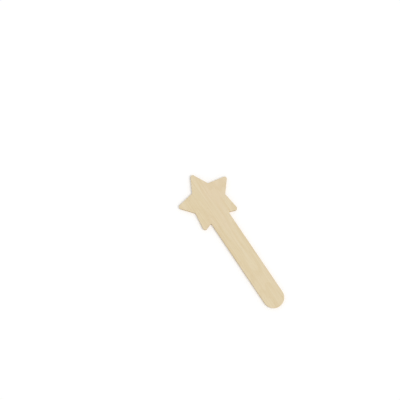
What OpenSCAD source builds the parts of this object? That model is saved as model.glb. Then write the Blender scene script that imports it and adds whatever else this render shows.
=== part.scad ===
// Star wand cut from three-ply plywood: a flat star head on a straight stick with a round end.
// The wand lies on its back face. Y runs along the stick towards the star and Z is up.
// The origin is the middle of the wand's length and width, on the back face.

/* [Star head] */
// Radius of the circle through the top point and the two side points before they are rounded
star_r = 30.2; // [27:0.1:34]
// Radius of the circle through the two lower points before they are rounded
lower_r = 31.7; // [29:0.1:35]
// Distance of the two upper notches from the star's middle
upper_notch_r = 15.5; // [13:0.1:18]
// Distance of the two lower notches from the star's middle
lower_notch_r = 17.8; // [15:0.1:20]
// Angle from the top point to each side point
side_turn = 72.7; // [70:0.1:75]
// Angle from the top point to each lower point
lower_turn = 142; // [139:0.5:145]
// Rounding of each star point
point_round = 2.1; // [0.6:0.1:3]
// Rounding that the cutter leaves in each inside corner
corner_round = 1; // [0.4:0.1:1.6]

/* [Stick] */
// Length of the whole wand, from the top star point to the round end
wand_l = 150; // [120:1:220]
// Width of the stick, which is also the diameter of its round end
stick_w = 20; // [14:0.5:24]

/* [Plywood] */
// Thickness of each outer veneer, whose grain runs along the stick
face_t = 0.6; // [0.4:0.1:1]
// Thickness of the core veneer, whose grain runs across the stick
core_t = 1.6; // [1:0.1:2.4]
// Thickness of each glue line between two veneers
glue_t = 0.1; // [0.05:0.05:0.2]

/* [Hidden] */
$fn = 96;

// How far an arc and the straight edge it continues run into each other, so that they join cleanly
seam = 0.002;

// Heights of the layers, from the back face up
back_glue_z = face_t;
core_z = back_glue_z + glue_t;
front_glue_z = core_z + core_t;
front_z = front_glue_z + glue_t;

// A place at an angle clockwise from the star's top point, the same place on the left half, and the
// direction from one place to another
function polar(r, turn) = [r * sin(turn), r * cos(turn)];
function flipped(p) = [-p.x, p.y];
function towards(p, q) = (q - p) / norm(q - p);

// Rounding of the corner p between its neighbours a and b by a circle that touches both edges: half
// the corner's angle, the circle's middle, and where the circle touches the edge from p to a
function half_angle(a, p, b) = acos(towards(p, a) * towards(p, b)) / 2;
function round_middle(a, p, b, r) =
    let (inwards = towards(p, a) + towards(p, b))
    p + inwards / norm(inwards) * r / sin(half_angle(a, p, b));
function touch(a, p, b, r) = p + towards(p, a) * r / tan(half_angle(a, p, b));

// Where the edge from the star point p to a runs into the point's disc
function edge_end(a, p, b) =
    let (t = touch(a, p, b, point_round))
    t + towards(t, round_middle(a, p, b, point_round)) * seam;

// Corners of the right half before they are rounded, from the star's middle
top_point = polar(star_r, 0);
upper_notch = polar(upper_notch_r, side_turn / 2);
side_point = polar(star_r, side_turn);
lower_notch = polar(lower_notch_r, (side_turn + lower_turn) / 2);
lower_point = polar(lower_r, lower_turn);

// The lower edges of the two lower points aim at one more notch, which the stick hides. At the
// shoulder such an edge meets the side of the stick.
hidden_notch = [0, -lower_notch_r];
shoulder = hidden_notch + (lower_point - hidden_notch) * stick_w / 2 / lower_point.x;

// Where the rounded top point ends, and where the side of the stick runs into the round end
top_end = round_middle(upper_notch, top_point, flipped(upper_notch), point_round).y + point_round;
end_y = top_end - wand_l + stick_w / 2;
stick_end = [stick_w / 2, end_y];

// The star's straight edges on the right half, from the lower point up to the top point
right_edges = [
    edge_end(hidden_notch, lower_point, lower_notch),
    edge_end(lower_notch, lower_point, hidden_notch),
    lower_notch,
    edge_end(lower_notch, side_point, upper_notch),
    edge_end(upper_notch, side_point, lower_notch),
    upper_notch,
    edge_end(upper_notch, top_point, flipped(upper_notch)),
];

// The disc in the star point p between its neighbours a and b
module point_disc(a, p, b) {
    translate(round_middle(a, p, b, point_round)) circle(point_round);
}

// The web that rounds the inside corner p between its neighbours a and b. It reaches back into the
// wood by as much as it rounds.
module corner_web(a, p, b) {
    middle = round_middle(a, p, b, corner_round);
    back = p + towards(middle, p) * corner_round;
    difference() {
        polygon([touch(a, p, b, corner_round), back, touch(b, p, a, corner_round), middle]);
        translate(middle) circle(corner_round + seam);
    }
}

// The star: its straight edges and the disc in each point
module star_outline() {
    left_edges = [for (i = [len(right_edges) - 1 : -1 : 0]) flipped(right_edges[i])];
    polygon(concat([hidden_notch], right_edges, left_edges));
    point_disc(upper_notch, top_point, flipped(upper_notch));
    for (side = [0, 1])
        mirror([side, 0]) {
            point_disc(upper_notch, side_point, lower_notch);
            point_disc(lower_notch, lower_point, hidden_notch);
        }
}

// The stick, from the star's middle down to its round end
module stick_outline() {
    translate([-stick_w / 2, end_y]) square([stick_w, -end_y]);
    translate([0, end_y]) circle(stick_w / 2);
}

// The cut line of the whole wand about the star's middle, which every layer shares
module wand_outline() {
    star_outline();
    stick_outline();
    for (side = [0, 1])
        mirror([side, 0]) {
            corner_web(top_point, upper_notch, side_point);
            corner_web(side_point, lower_notch, lower_point);
            corner_web(lower_point, shoulder, stick_end);
        }
}

// One layer of the board
module layer(z, thickness) {
    translate([0, wand_l / 2 - top_end, z]) linear_extrude(thickness) wand_outline();
}

module back_veneer() {
    color("#e0cfac") layer(0, face_t);
}

module back_glue_line() {
    color("#b98d4c") layer(back_glue_z, glue_t);
}

module core_veneer() {
    color("#d8c298") layer(core_z, core_t);
}

module front_glue_line() {
    color("#b98d4c") layer(front_glue_z, glue_t);
}

module front_veneer() {
    color("#e0cfac") layer(front_z, face_t);
}

back_veneer();
back_glue_line();
core_veneer();
front_glue_line();
front_veneer();
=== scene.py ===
# %% [markdown]
# A star wand cut from plywood
#
# The wand is one flat cut-out: a star head on a straight stick with a round end. It is cut from a board of
# three wood veneers with a film of glue between each two. The construction model already holds the five
# layers at their real size, so this lesson loads it as a fixed frame and gives each layer its cut edge and
# its finish.

# %% Load the frame
import math

import bpy
from mathutils import Matrix, Vector


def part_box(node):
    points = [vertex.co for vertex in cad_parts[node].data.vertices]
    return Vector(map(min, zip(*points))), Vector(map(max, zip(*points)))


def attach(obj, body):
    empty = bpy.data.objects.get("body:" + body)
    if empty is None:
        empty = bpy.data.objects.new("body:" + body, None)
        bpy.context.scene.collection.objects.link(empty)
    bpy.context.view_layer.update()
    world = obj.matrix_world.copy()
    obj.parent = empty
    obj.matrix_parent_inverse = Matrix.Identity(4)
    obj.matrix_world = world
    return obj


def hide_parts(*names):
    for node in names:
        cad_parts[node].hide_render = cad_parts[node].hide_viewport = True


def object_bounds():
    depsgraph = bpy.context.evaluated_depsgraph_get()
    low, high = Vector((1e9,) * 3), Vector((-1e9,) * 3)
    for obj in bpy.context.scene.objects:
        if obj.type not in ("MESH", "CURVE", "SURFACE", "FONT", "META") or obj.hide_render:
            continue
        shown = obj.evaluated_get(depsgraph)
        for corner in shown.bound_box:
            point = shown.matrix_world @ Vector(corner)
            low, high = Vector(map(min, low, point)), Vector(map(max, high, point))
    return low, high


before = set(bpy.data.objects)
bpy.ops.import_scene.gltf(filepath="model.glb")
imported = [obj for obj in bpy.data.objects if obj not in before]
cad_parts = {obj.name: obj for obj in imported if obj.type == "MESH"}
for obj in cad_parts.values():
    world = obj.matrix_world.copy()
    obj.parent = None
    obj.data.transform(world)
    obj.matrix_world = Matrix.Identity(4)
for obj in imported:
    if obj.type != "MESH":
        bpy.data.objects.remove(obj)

MM = 0.001
cad_low, cad_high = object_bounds()
cad_size = [round(side / MM, 2) for side in cad_high - cad_low]
print("layers", sorted(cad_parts), "in a box of", cad_size, "mm")

# %% [markdown]
# The corners of the cut line
#
# A workshop would draw the wand as one closed line with sharp corners and write a rounding beside each
# corner. The star was drawn by eye: its lower points reach further out and are splayed, and its upper
# notches are deeper than its lower ones. So each corner of its right half has a distance from the star's
# middle and an angle from the top point, and the left half mirrors them. The stick closes the line.

# %% Corners of the star and the stick
STAR_R = 30.2 * MM
LOWER_R = 31.7 * MM
UPPER_NOTCH_R = 15.5 * MM
LOWER_NOTCH_R = 17.8 * MM
SIDE_TURN = math.radians(72.7)
LOWER_TURN = math.radians(142)
POINT_ROUND = 2.1 * MM
CORNER_ROUND = 1.0 * MM
STICK_W = 20 * MM
END_FLAT = 0.01 * MM  # a hair of flat keeps the two arcs of the round end from sharing a point

right_half = []
for reach, turn, rounding in (
    (LOWER_R, LOWER_TURN, POINT_ROUND),
    (LOWER_NOTCH_R, (SIDE_TURN + LOWER_TURN) / 2, CORNER_ROUND),
    (STAR_R, SIDE_TURN, POINT_ROUND),
    (UPPER_NOTCH_R, SIDE_TURN / 2, CORNER_ROUND),
):
    right_half.append((reach * math.sin(turn), reach * math.cos(turn), rounding))

# The top point's rounding shortens it, and its end is the top of the model's box
notch_x, notch_y, _ = right_half[-1]
half_point = math.atan2(notch_x, STAR_R - notch_y)
star_y = cad_high.y - STAR_R + POINT_ROUND * (1 / math.sin(half_point) - 1)

# The lower edge of a lower point aims at a notch inside the stick, and meets the stick's side at the
# shoulder
lower_x, lower_y, _ = right_half[0]
shoulder_y = (lower_y + LOWER_NOTCH_R) * STICK_W / 2 / lower_x - LOWER_NOTCH_R

star = right_half + [(0.0, STAR_R, POINT_ROUND)] + [(-x, y, r) for x, y, r in reversed(right_half)]
corners = [(x, y + star_y, r) for x, y, r in star]
end_round = (STICK_W - END_FLAT) / 2
corners += [
    (-STICK_W / 2, shoulder_y + star_y, CORNER_ROUND),
    (-STICK_W / 2, cad_low.y, end_round),
    (STICK_W / 2, cad_low.y, end_round),
    (STICK_W / 2, shoulder_y + star_y, CORNER_ROUND),
]
print(len(corners), "corners; star's middle at", round(star_y / MM, 2), "mm")

# %% [markdown]
# The cut line as a curve
#
# A poly curve holds the drawing with one point for each corner, and the point's own radius holds its
# rounding. The arcs could be worked out here in Python too, but this way the curve stays as plain as the
# drawing, and Blender rounds it later.

# %% Draw the line
line_data = bpy.data.curves.new("cut_line", "CURVE")
line_data.dimensions = "3D"
spline = line_data.splines.new("POLY")
spline.points.add(len(corners) - 1)
spline.use_cyclic_u = True
for point, (x, y, rounding) in zip(spline.points, corners):
    point.co = (x, y, 0, 1)
    point.radius = rounding
cut_line = bpy.data.objects.new("cut_line", line_data)
bpy.context.scene.collection.objects.link(cut_line)
print("cut line of", len(spline.points), "points,", round(spline.calc_length() / MM), "mm before rounding")

# %% [markdown]
# The cutter
#
# Every layer is the same cut line at another height, so one Geometry Nodes tree makes them all. Its inputs
# are what differs between layers: the heights of the two faces, how soft the arris at each face is, how
# far the layer stands back from the cut, and the finish.

# %% Start the tree
tree = bpy.data.node_groups.new("cut_layer", "GeometryNodeTree")
for socket_name, socket_kind in (
    ("Geometry", "NodeSocketGeometry"),
    ("Cut line", "NodeSocketObject"),
    ("Lower face", "NodeSocketFloat"),
    ("Upper face", "NodeSocketFloat"),
    ("Lower arris", "NodeSocketFloat"),
    ("Upper arris", "NodeSocketFloat"),
    ("Setback", "NodeSocketFloat"),
    ("Material", "NodeSocketMaterial"),
):
    tree.interface.new_socket(name=socket_name, in_out="INPUT", socket_type=socket_kind)
tree.interface.new_socket(name="Layer", in_out="OUTPUT", socket_type="NodeSocketGeometry")
print("cutter's sockets", [item.name for item in tree.interface.items_tree])

# %% [markdown]
# The rounded line
#
# Geometry trees and materials are both built from nodes, so one small function serves both: it adds a
# node, sets its settings, and gives each input a value or a link. The cutter's first nodes fetch the cut
# line and round each corner by its own radius with Fillet Curve. The line's normals are then set to lie
# flat, so that they point straight out of the wand.

# %% Round the line
ARC_STEPS = 24


def add(tree, kind, inputs=None, **settings):
    """Adds a node. An input is keyed by name or number and takes a value, or an output to link from."""
    node = tree.nodes.new(kind)
    for name, value in settings.items():
        setattr(node, name, value)
    for key, value in (inputs or {}).items():
        if isinstance(value, bpy.types.NodeSocket):
            tree.links.new(value, node.inputs[key])
        else:
            node.inputs[key].default_value = value
    return node


given = add(tree, "NodeGroupInput").outputs
line = add(tree, "GeometryNodeObjectInfo", {"Object": given["Cut line"]})
corner = add(tree, "GeometryNodeInputRadius")
rounded = add(
    tree,
    "GeometryNodeFilletCurve",
    {"Curve": line.outputs["Geometry"], "Count": ARC_STEPS, "Radius": corner.outputs["Radius"]},
    mode="POLY",
)
upright = add(tree, "GeometryNodeSetCurveNormal", {"Curve": rounded.outputs["Curve"]}, mode="Z_UP")
print("with the rounded line, the tree has", len(tree.nodes), "nodes")

# %% [markdown]
# The edge's section
#
# A router bit leaves a straight wall, and sanding softens the arris at an outer face. So the section of the
# edge is a wall with a quarter circle below and above it. A plain extrusion with a Bevel modifier would come
# close, but a drawn section gives each layer its own arris below and above, and none where two layers meet.

# %% Draw the section
ARRIS_STEPS = 5


def arris_arc(radius, face, side, start):
    """A quarter circle of the section, and where it meets the wall. Side is 1 below the wall, -1 above."""
    height = add(tree, "ShaderNodeMath", {0: radius, 1: side, 2: face}, operation="MULTIPLY_ADD")
    down = add(tree, "ShaderNodeMath", {0: height.outputs[0], 1: -1.0}, operation="MULTIPLY")
    inward = add(tree, "ShaderNodeMath", {0: radius, 1: -1.0}, operation="MULTIPLY")
    place = add(tree, "ShaderNodeCombineXYZ", {"X": inward.outputs[0], "Y": down.outputs[0]})
    arc = add(
        tree,
        "GeometryNodeCurveArc",
        {"Resolution": ARRIS_STEPS, "Radius": radius, "Start Angle": start, "Sweep Angle": -math.pi / 2},
        mode="RADIUS",
    )
    moved = add(
        tree,
        "GeometryNodeTransform",
        {"Geometry": arc.outputs["Curve"], "Translation": place.outputs[0]},
    )
    wall_end = add(tree, "ShaderNodeCombineXYZ", {"Y": down.outputs[0]})
    return moved.outputs["Geometry"], wall_end.outputs[0]


# The section lies in the sweep's own plane: X points out of the wand and Y points down
lower_arc, wall_low = arris_arc(given["Lower arris"], given["Lower face"], side=1.0, start=math.pi / 2)
upper_arc, wall_high = arris_arc(given["Upper arris"], given["Upper face"], side=-1.0, start=0.0)
wall = add(tree, "GeometryNodeCurvePrimitiveLine", {"Start": wall_low, "End": wall_high})
section = add(tree, "GeometryNodeJoinGeometry")
for part in (lower_arc, wall.outputs["Curve"], upper_arc):
    tree.links.new(part, section.inputs["Geometry"])
print("with the section, the tree has", len(tree.nodes), "nodes")

# %% [markdown]
# The cut edge
#
# Curve to Mesh sweeps the section round the line, as the bit would run. Before that, the line moves in by the
# layer's setback. Scaling it would bring in the star's points more than its notches, so it moves square to
# itself instead, by the same distance everywhere.

# %% Sweep the edge
# On a line this node gives the direction out of the wand, and on a mesh the direction of each face
outward = add(tree, "GeometryNodeInputNormal")


def inset_by(curve, distance):
    """The curve moved inwards, square to itself, by the distance."""
    back = add(tree, "ShaderNodeMath", {0: distance, 1: -1.0}, operation="MULTIPLY")
    shift = add(
        tree,
        "ShaderNodeVectorMath",
        {0: outward.outputs["Normal"], "Scale": back.outputs[0]},
        operation="SCALE",
    )
    moved = add(tree, "GeometryNodeSetPosition", {"Geometry": curve, "Offset": shift.outputs[0]})
    return moved.outputs["Geometry"]


edge_line = inset_by(upright.outputs["Curve"], given["Setback"])
swept = add(
    tree,
    "GeometryNodeCurveToMesh",
    {"Curve": edge_line, "Profile Curve": section.outputs["Geometry"]},
)

# The sweep leaves its faces looking into the wood, so they are turned round
edge = add(tree, "GeometryNodeFlipFaces", {"Mesh": swept.outputs["Mesh"]})
print("with the edge, the tree has", len(tree.nodes), "nodes")

# %% [markdown]
# The flat faces
#
# Each face is the same line once more, moved in to where the arris ends and filled by Fill Curve. The edge
# and the two faces only touch at first. Merging the doubles along their rims makes them one closed skin,
# which a slicer or a physics engine can use as well.

# %% Close the skin
WELD = 0.001 * MM


def face_sheet(height, arris):
    """One flat face, which starts where the arris ends."""
    filled = add(tree, "GeometryNodeFillCurve", {"Curve": inset_by(edge_line, arris)}, mode="NGONS")
    place = add(tree, "ShaderNodeCombineXYZ", {"Z": height})
    raised = add(
        tree,
        "GeometryNodeTransform",
        {"Geometry": filled.outputs["Mesh"], "Translation": place.outputs[0]},
    )
    return raised.outputs["Geometry"]


lower_sheet = face_sheet(given["Lower face"], given["Lower arris"])
lower_turned = add(tree, "GeometryNodeFlipFaces", {"Mesh": lower_sheet})
upper_sheet = face_sheet(given["Upper face"], given["Upper arris"])
skin = add(tree, "GeometryNodeJoinGeometry")
for part in (edge.outputs["Mesh"], lower_turned.outputs["Mesh"], upper_sheet):
    tree.links.new(part, skin.inputs["Geometry"])
closed = add(
    tree,
    "GeometryNodeMergeByDistance",
    {"Geometry": skin.outputs["Geometry"], "Distance": WELD},
)
print("with the faces, the tree has", len(tree.nodes), "nodes")

# %% [markdown]
# Marks for the finish
#
# A finish has to tell the cut edge from the sanded face, so each face of the skin keeps how far it leans
# from flat in an attribute. The edge is shaded smooth, so that its roundings show no steps, and it stays
# crisp wherever it turns by more than a sanded arris does in one step.

# %% Mark and shade the layer
SMOOTH_LEAN = 0.02  # a face that leans more than this is part of the edge
SQUARE_TURN = math.radians(40)  # a bend sharper than this stays crisp

facing = add(tree, "ShaderNodeSeparateXYZ", {0: outward.outputs["Normal"]})
flatness = add(tree, "ShaderNodeMath", {0: facing.outputs["Z"]}, operation="ABSOLUTE")
lean = add(tree, "ShaderNodeMath", {0: 1.0, 1: flatness.outputs[0]}, operation="SUBTRACT")
marked = add(
    tree,
    "GeometryNodeStoreNamedAttribute",
    {"Geometry": closed.outputs["Geometry"], "Name": "cut_edge", "Value": lean.outputs[0]},
    data_type="FLOAT",
    domain="FACE",
)
is_edge = add(tree, "ShaderNodeMath", {0: lean.outputs[0], 1: SMOOTH_LEAN}, operation="GREATER_THAN")
smooth = add(
    tree,
    "GeometryNodeSetShadeSmooth",
    {"Geometry": marked.outputs["Geometry"], "Shade Smooth": is_edge.outputs[0]},
)
bend = add(tree, "GeometryNodeInputMeshEdgeAngle")
is_square = add(
    tree,
    "ShaderNodeMath",
    {0: bend.outputs["Unsigned Angle"], 1: SQUARE_TURN},
    operation="GREATER_THAN",
)
crisp = add(
    tree,
    "GeometryNodeSetShadeSmooth",
    {"Geometry": smooth.outputs["Geometry"], "Selection": is_square.outputs[0], "Shade Smooth": False},
    domain="EDGE",
)
real = add(tree, "GeometryNodeRealizeInstances", {"Geometry": crisp.outputs["Geometry"]})
finished = add(
    tree,
    "GeometryNodeSetMaterial",
    {"Geometry": real.outputs["Geometry"], "Material": given["Material"]},
)
add(tree, "NodeGroupOutput", {"Layer": finished.outputs["Geometry"]})
print("whole cutter of", len(tree.nodes), "nodes and", len(tree.links), "links")

# %% [markdown]
# Wood grain
#
# Wood is a bundle of long fibres, so all its marks are one kind of pattern, a noise that is drawn out along
# the fibres. It is three-dimensional, as the wood is: a face along the fibres shows streaks, and a cut
# across them shows the streaks' ends as specks, so the grain runs over the edges by itself. Each use gives
# the mark's size in millimetres, across and along the fibres.

# %% Grain
THICKNESS_SHARE = 0.45  # a peeled sheet's marks lie flat in it, so they are thinner than they are wide


def grain(nodes, place, across, along, detail, offset=0.0):
    """A noise from 0 to 1 whose marks are that wide and that long, in millimetres, along Y.

    The offset picks another stretch of the noise, so that two kinds of mark don't share their places.
    """
    scale = (1 / (across * MM), 1 / (along * MM), 1 / (THICKNESS_SHARE * across * MM))
    sized = add(nodes, "ShaderNodeMapping", {"Vector": place, "Scale": scale, "Location": (offset,) * 3})
    noise = add(
        nodes,
        "ShaderNodeTexNoise",
        {"Vector": sized.outputs[0], "Scale": 1.0, "Detail": detail, "Roughness": 0.55},
    )
    return noise.outputs["Fac"]


print("a mark 1 mm wide is", THICKNESS_SHARE, "mm thick")

# %% [markdown]
# Colours and stains
#
# Colours are written as the sRGB hex values that a paint program shows, and one function turns them to the
# linear values that Blender computes with. A mark of the wood then works like a stain, which is laid over
# the colour so far wherever its pattern is strong.

# %% Colours and stains
# The Mix node's colour sockets go by number, because its other sockets have the same names
COLOUR_A, COLOUR_B, COLOUR_OUT = 6, 7, 2


def linear(hex_colour):
    """Linear red, green, blue and alpha of an sRGB hex colour."""
    shares = [int(hex_colour[i : i + 2], 16) / 255 for i in (1, 3, 5)]
    return [c / 12.92 if c <= 0.04045 else ((c + 0.055) / 1.055) ** 2.4 for c in shares] + [1.0]


def stained(nodes, colour, stain, pattern, low=0.0, high=1.0, share=1.0):
    """The colour with a stain on it: none where the pattern is low, and its share where it is high."""
    strength = add(
        nodes,
        "ShaderNodeMapRange",
        {"Value": pattern, "From Min": low, "From Max": high, "To Max": share},
        interpolation_type="SMOOTHSTEP",
    )
    mixed = add(
        nodes,
        "ShaderNodeMix",
        {"Factor": strength.outputs["Result"], COLOUR_A: colour, COLOUR_B: linear(stain)},
        data_type="RGBA",
    )
    return mixed.outputs[COLOUR_OUT]


print("middle grey #808080 is", round(linear("#808080")[0], 3), "in linear light")

# %% [markdown]
# Fibres and pores
#
# Fibres run nearly straight and wander a little from side to side, so a slow noise shifts the whole grain.
# Pores are vessels of the wood that the knife cut open, and show as short, darker strokes. Pores and fibres
# of this wood are finer than a tenth of a millimetre. They are drawn several times as wide, which is as
# coarse as they need to be to show in a close view.

# %% Fibres and pores
WAVER = 1.6 * MM  # sideways wander of the fibres, from one side to the other


def wandering(nodes, place):
    """The place, moved sideways as the fibres wander over the length of the stick."""
    sway = grain(nodes, place, across=30, along=60, detail=1.0, offset=3.1)
    aside = add(nodes, "ShaderNodeMath", {0: sway, 1: WAVER, 2: -WAVER / 2}, operation="MULTIPLY_ADD")
    shift = add(nodes, "ShaderNodeCombineXYZ", {"X": aside.outputs[0]})
    moved = add(nodes, "ShaderNodeVectorMath", {0: place, 1: shift.outputs[0]}, operation="ADD")
    return moved.outputs[0]


def open_pores(nodes, fibres):
    """1 in a pore: the few places where a fine, short noise is strongest."""
    specks = grain(nodes, fibres, across=0.4, along=4, detail=2.0, offset=5.9)
    pore = add(
        nodes,
        "ShaderNodeMapRange",
        {"Value": specks, "From Min": 0.6, "From Max": 0.72},
        interpolation_type="SMOOTHSTEP",
    )
    return pore.outputs["Result"]


print("fibres wander by", WAVER / MM / 2, "mm to each side")

# %% [markdown]
# Growth rings
#
# Veneer is peeled off a turning log, so the growth rings lie almost flat in the sheet and show as faint,
# wandering contour lines. A Wave texture would give even stripes, as on a sawn plank. Here a slow noise is
# multiplied and only the fraction kept, which runs from 0 to 1 across each ring, as the ground rises from
# one contour line of a map to the next.

# %% Growth rings
RING_COUNT = 9.0  # contour lines over the noise's whole range


def growth_rings(nodes, fibres):
    """1 along a growth ring and 0 between two, soft on one side of the ring and sharper on the other."""
    hill = grain(nodes, fibres, across=19, along=90, detail=1.5, offset=7.3)
    count = add(nodes, "ShaderNodeMath", {0: hill, 1: RING_COUNT}, operation="MULTIPLY")
    saw = add(nodes, "ShaderNodeMath", {0: count.outputs[0]}, operation="FRACT")
    rise = add(
        nodes,
        "ShaderNodeMapRange",
        {"Value": saw.outputs[0], "From Min": 0.35, "From Max": 0.9},
        interpolation_type="SMOOTHSTEP",
    )
    fall = add(
        nodes,
        "ShaderNodeMapRange",
        {"Value": saw.outputs[0], "From Min": 0.93, "From Max": 1.0, "To Min": 1.0, "To Max": 0.0},
        interpolation_type="SMOOTHSTEP",
    )
    ring = add(
        nodes,
        "ShaderNodeMath",
        {0: rise.outputs["Result"], 1: fall.outputs["Result"]},
        operation="MULTIPLY",
    )
    return ring.outputs[0]


print(RING_COUNT, "contour lines make the rings")

# %% [markdown]
# The sanded surface
#
# The wood is sanded and bare: rough and matt, with hardly any gloss. Fine fibres stand up a little and pores
# lie open, and the raised fibres are the less polished. As real geometry, marks this small would take
# millions of faces, so a Bump node shades them instead.

# %% The sanded surface
NAP = 0.06 * MM  # how far the noise's whole range would raise the fibres


def raised_fibres(nodes, fibres, pores):
    """The normal and the roughness that sanding leaves."""
    fine = grain(nodes, fibres, across=0.35, along=9, detail=2.0, offset=1.7)
    height = add(nodes, "ShaderNodeMath", {0: fine, 1: pores}, operation="SUBTRACT").outputs[0]
    bump = add(nodes, "ShaderNodeBump", {"Strength": 0.35, "Distance": NAP, "Height": height})
    matt = add(
        nodes,
        "ShaderNodeMapRange",
        {"Value": fine, "From Min": 0.3, "From Max": 0.7, "To Min": 0.6, "To Max": 0.75},
        interpolation_type="SMOOTHSTEP",
    )
    return bump.outputs["Normal"], matt.outputs["Result"]


print("fibres stand up by less than", NAP / MM, "mm")

# %% [markdown]
# Basswood veneer
#
# Flat wooden toys like this one are often cut from basswood or a like pale wood. Besides its rings and pores
# it has fine streaks along the fibres, and a slow drift between cream and a warmer tone. On the cut edge the
# same wood looks a little darker.

# %% The face veneers' finish


def basswood(name, turn, pale, deep, warm, ring, pore, edge):
    """Bare basswood with its fibres along Y, turned about Z by the angle.

    Pale is the ground. Deep streaks, a warm drift, rings and pores are laid over it as stains, and the cut
    edge's colour is multiplied by edge.
    """
    material = bpy.data.materials.new(name)
    material.use_nodes = True
    nodes = material.node_tree
    nodes.nodes.clear()

    here = add(nodes, "ShaderNodeTexCoord").outputs["Object"]
    turned = add(nodes, "ShaderNodeMapping", {"Vector": here, "Rotation": (0, 0, turn)}).outputs[0]
    fibres = wandering(nodes, turned)
    streaks = grain(nodes, fibres, across=0.9, along=40, detail=4.0)
    drift = grain(nodes, turned, across=28, along=55, detail=2.0, offset=9.4)
    pores = open_pores(nodes, fibres)

    colour = stained(nodes, linear(pale), deep, streaks, low=0.3, high=0.7)
    colour = stained(nodes, colour, warm, drift, low=0.4, high=0.65, share=0.4)
    colour = stained(nodes, colour, ring, growth_rings(nodes, fibres), share=0.16)
    colour = stained(nodes, colour, pore, pores, share=0.22)
    cut = add(nodes, "ShaderNodeAttribute", attribute_name="cut_edge").outputs["Fac"]
    wood = add(
        nodes,
        "ShaderNodeMix",
        {"Factor": cut, COLOUR_A: colour, COLOUR_B: linear(edge)},
        data_type="RGBA",
        blend_type="MULTIPLY",
    )

    normal, roughness = raised_fibres(nodes, fibres, pores)
    shader = add(
        nodes,
        "ShaderNodeBsdfPrincipled",
        {
            "Base Color": wood.outputs[COLOUR_OUT],
            "Roughness": roughness,
            "IOR": 1.5,
            "Specular IOR Level": 0.35,
            "Normal": normal,
        },
    )
    add(nodes, "ShaderNodeOutputMaterial", {"Surface": shader.outputs["BSDF"]})
    return material


face_finish = basswood(
    "sanded_basswood_face",
    turn=0.0,
    pale="#e2d3b3",
    deep="#ddcba6",
    warm="#e2ceb2",
    ring="#d0b88b",
    pore="#c0a374",
    edge="#f4ead9",
)
print("finish", face_finish.name, "of", len(face_finish.node_tree.nodes), "nodes")

# %% [markdown]
# The core
#
# Plywood crosses its layers, so that no split can run through all of them. The core is the same wood turned
# by a quarter, so the long sides of the stick show its fibres end on, darker and more speckled than the
# face.

# %% The core veneer's finish
core_finish = basswood(
    "cut_basswood_core",
    turn=math.pi / 2,
    pale="#dcc59a",
    deep="#d1b687",
    warm="#d6bb90",
    ring="#c3a16e",
    pore="#ae8a59",
    edge="#f2e7d4",
)
print("finish", core_finish.name, "of", len(core_finish.node_tree.nodes), "nodes")

# %% [markdown]
# Cured glue
#
# Plywood glue sets to a hard amber resin. Only its edge shows, as a hairline between two veneers, a little
# glossier and darker than the wood. It is darkest and smoothest where most of it was squeezed together.

# %% The glue finish
POOL = 4  # width and length of a pool of glue, in millimetres

glue_finish = bpy.data.materials.new("cured_plywood_glue")
glue_finish.use_nodes = True
glue_nodes = glue_finish.node_tree
glue_nodes.nodes.clear()
glue_place = add(glue_nodes, "ShaderNodeTexCoord").outputs["Object"]
pooled = grain(glue_nodes, glue_place, across=POOL, along=POOL, detail=2.0)
gloss = add(
    glue_nodes,
    "ShaderNodeMapRange",
    {"Value": pooled, "From Min": 0.35, "From Max": 0.65, "To Min": 0.45, "To Max": 0.3},
)
glue_shader = add(
    glue_nodes,
    "ShaderNodeBsdfPrincipled",
    {
        "Base Color": stained(glue_nodes, linear("#bf9a5e"), "#9a7238", pooled, low=0.35, high=0.65),
        "Roughness": gloss.outputs["Result"],
        "IOR": 1.5,
    },
)
add(glue_nodes, "ShaderNodeOutputMaterial", {"Surface": glue_shader.outputs["BSDF"]})
print("finish", glue_finish.name, "of", len(glue_nodes.nodes), "nodes")

# %% [markdown]
# The five layers
#
# Each layer takes its heights from the construction model, so the new skins fill the same space. The two
# outer arrises are softened by the sanding that makes a toy safe to hold, and the inner ones stay sharp.
# The glue lies a hair behind the cut, because the wood springs back after the cutter.

# %% Cut the layers
SANDED = 0.22 * MM
GLUE_BACK = 0.03 * MM


def cut_layer(node_name, material, lower_arris=0.0, upper_arris=0.0, setback=0.0):
    """A skin for one layer, which rides on the wand's body and stands for the layer's solid."""
    low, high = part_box(node_name)
    host = bpy.data.objects.new("host", bpy.data.meshes.new("host"))
    bpy.context.scene.collection.objects.link(host)
    modifier = host.modifiers.new("cutter", "NODES")
    modifier.node_group = tree
    sizes = {
        "Cut line": cut_line,
        "Lower face": low.z,
        "Upper face": high.z,
        "Lower arris": lower_arris,
        "Upper arris": upper_arris,
        "Setback": setback,
        "Material": material,
    }
    for item in tree.interface.items_tree:
        if item.in_out == "INPUT" and item.name in sizes:
            modifier[item.identifier] = sizes[item.name]
    evaluated = host.evaluated_get(bpy.context.evaluated_depsgraph_get())
    mesh = bpy.data.meshes.new_from_object(evaluated)
    bpy.data.objects.remove(host)
    mesh.name = node_name + "_skin"
    skin_object = bpy.data.objects.new(node_name + "_skin", mesh)
    bpy.context.scene.collection.objects.link(skin_object)
    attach(skin_object, "root")
    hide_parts(node_name)
    print(node_name, len(mesh.polygons), "faces")


cut_layer("back_veneer", face_finish, lower_arris=SANDED)
cut_layer("back_glue_line", glue_finish, setback=GLUE_BACK)
cut_layer("core_veneer", core_finish)
cut_layer("front_glue_line", glue_finish, setback=GLUE_BACK)
cut_layer("front_veneer", face_finish, upper_arris=SANDED)
bpy.data.objects.remove(cut_line)

# %% [markdown]
# Floor
#
# The wand lies on a plain floor, which is large enough to fill the picture. It is only the stage, so one
# flat face does.

# %% The floor
FLOOR_W = 6.0  # metres

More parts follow.
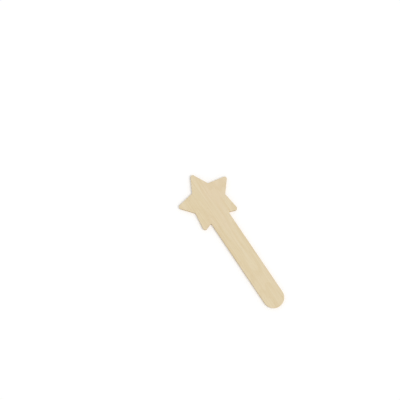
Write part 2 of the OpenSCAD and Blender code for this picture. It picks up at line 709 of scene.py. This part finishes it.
scene = bpy.context.scene
half = FLOOR_W / 2
floor_mesh = bpy.data.meshes.new("floor")
floor_mesh.from_pydata(
    [(-half, -half, 0), (half, -half, 0), (half, half, 0), (-half, half, 0)], [], [(0, 1, 2, 3)]
)
floor = bpy.data.objects.new("floor", floor_mesh)
scene.collection.objects.link(floor)
print("floor", FLOOR_W, "m wide")

# %% [markdown]
# White paper
#
# The floor is white paper, a pale matt surface that takes the wand's soft shadow. To the camera it also
# glows a little, which lifts it to white without putting more light on the wood. A brighter lamp would
# whiten the paper as well, but it would bleach the wood with it.

# %% The paper finish
FLOOR_LIFT = 0.15  # the paper's glow, where 1 would be white by itself


def seen_directly(nodes):
    """1 where the eye, a reflection or a clear body looks at the surface, 0 where it only gives light."""
    path = add(nodes, "ShaderNodeLightPath").outputs
    mirror = add(
        nodes,
        "ShaderNodeMath",
        {0: path["Is Camera Ray"], 1: path["Is Glossy Ray"]},
        operation="MAXIMUM",
    )
    clear = add(
        nodes,
        "ShaderNodeMath",
        {0: mirror.outputs[0], 1: path["Is Transmission Ray"]},
        operation="MAXIMUM",
    )
    return clear.outputs[0]


paper = bpy.data.materials.new("white_paper_floor")
paper.use_nodes = True
paper_nodes = paper.node_tree
paper_nodes.nodes.clear()
lift = add(
    paper_nodes,
    "ShaderNodeMath",
    {0: seen_directly(paper_nodes), 1: FLOOR_LIFT},
    operation="MULTIPLY",
)
paper_shader = add(
    paper_nodes,
    "ShaderNodeBsdfPrincipled",
    {
        "Base Color": linear("#f0f0f0"),
        "Roughness": 0.9,
        "Specular IOR Level": 0.0,
        "Emission Color": linear("#ffffff"),
        "Emission Strength": lift.outputs[0],
    },
)
add(paper_nodes, "ShaderNodeOutputMaterial", {"Surface": paper_shader.outputs["BSDF"]})
floor_mesh.materials.append(paper)
print("finish", paper.name, "of", len(paper_nodes.nodes), "nodes")

# %% [markdown]
# Light
#
# The world lights the wand evenly from all sides, and one broad lamp from the right of the picture shades
# the edges. Together they give the wood about the light at which a colour renders as it is written.

# %% World and lamp
WORLD_SHARE = 0.6
KEY_SHARE = 0.4
KEY_HEIGHT = math.radians(66)  # above the floor
KEY_TURN = math.radians(-58)  # from the X axis, anticlockwise as seen from above
KEY_SPREAD = math.radians(40)  # wide, for a soft shadow

world = bpy.data.worlds.new("white_room")
world.use_nodes = True
world_nodes = world.node_tree
world_nodes.nodes.clear()
room_level = add(
    world_nodes,
    "ShaderNodeMapRange",
    {"Value": seen_directly(world_nodes), "To Min": WORLD_SHARE, "To Max": 1.0},
)
room = add(
    world_nodes,
    "ShaderNodeBackground",
    {"Color": linear("#ffffff"), "Strength": room_level.outputs["Result"]},
)
add(world_nodes, "ShaderNodeOutputWorld", {"Surface": room.outputs["Background"]})
scene.world = world

key_data = bpy.data.lights.new("broad_lamp", "SUN")
key_data.energy = KEY_SHARE * math.pi / math.sin(KEY_HEIGHT)
key_data.angle = KEY_SPREAD
key = bpy.data.objects.new("broad_lamp", key_data)
scene.collection.objects.link(key)
key_side = Vector((math.cos(KEY_TURN), math.sin(KEY_TURN), 0))
key_from = key_side * math.cos(KEY_HEIGHT) + Vector((0, 0, math.sin(KEY_HEIGHT)))
key.rotation_mode = "QUATERNION"
key.rotation_quaternion = key_from.to_track_quat("Z", "Y")
print("light: world", WORLD_SHARE, "lamp", KEY_SHARE)

# %% [markdown]
# Camera
#
# The photograph was taken from nearly straight above with a long lens. The camera's angle, distance and
# lens come from fitting the wand's outline to the picture: the wand's star point is turned anticlockwise
# from the picture's upward direction, and the star's middle lies just right of the picture's centre.

# %% Camera
TILT = math.radians(11.4)  # from straight above
DISTANCE = 905 * MM
FOCAL_PX = 948  # focal length in the picture's pixels
IMAGE_PX = 400
STAR_TURN = math.radians(33.4)
STAR_RIGHT = 7.0 * MM  # how far the star's middle lies right of the picture's centre
STAR_AWAY = 0.9 * MM  # and how far beyond it

right = Vector((math.cos(STAR_TURN), -math.sin(STAR_TURN), 0))
away = Vector((math.sin(STAR_TURN), math.cos(STAR_TURN), 0))
up = Vector((0, 0, 1))
aim = Vector((0, star_y, cad_high.z)) - right * STAR_RIGHT - away * STAR_AWAY
back = up * math.cos(TILT) - away * math.sin(TILT)
upward = back.cross(right)
camera_data = bpy.data.cameras.new("camera")
camera_data.lens = camera_data.sensor_width * FOCAL_PX / IMAGE_PX
camera = bpy.data.objects.new("camera", camera_data)
scene.collection.objects.link(camera)
facing_down = Matrix((right, upward, back)).transposed().to_4x4()
camera.matrix_world = Matrix.Translation(aim + back * DISTANCE) @ facing_down
scene.camera = camera
scene.view_settings.view_transform = "Standard"
camera_place = [round(c / MM, 1) for c in camera.matrix_world.translation]
print("camera at", camera_place, "mm, lens", round(camera_data.lens, 1), "mm")

# %% Update the scene
bpy.context.view_layer.update()
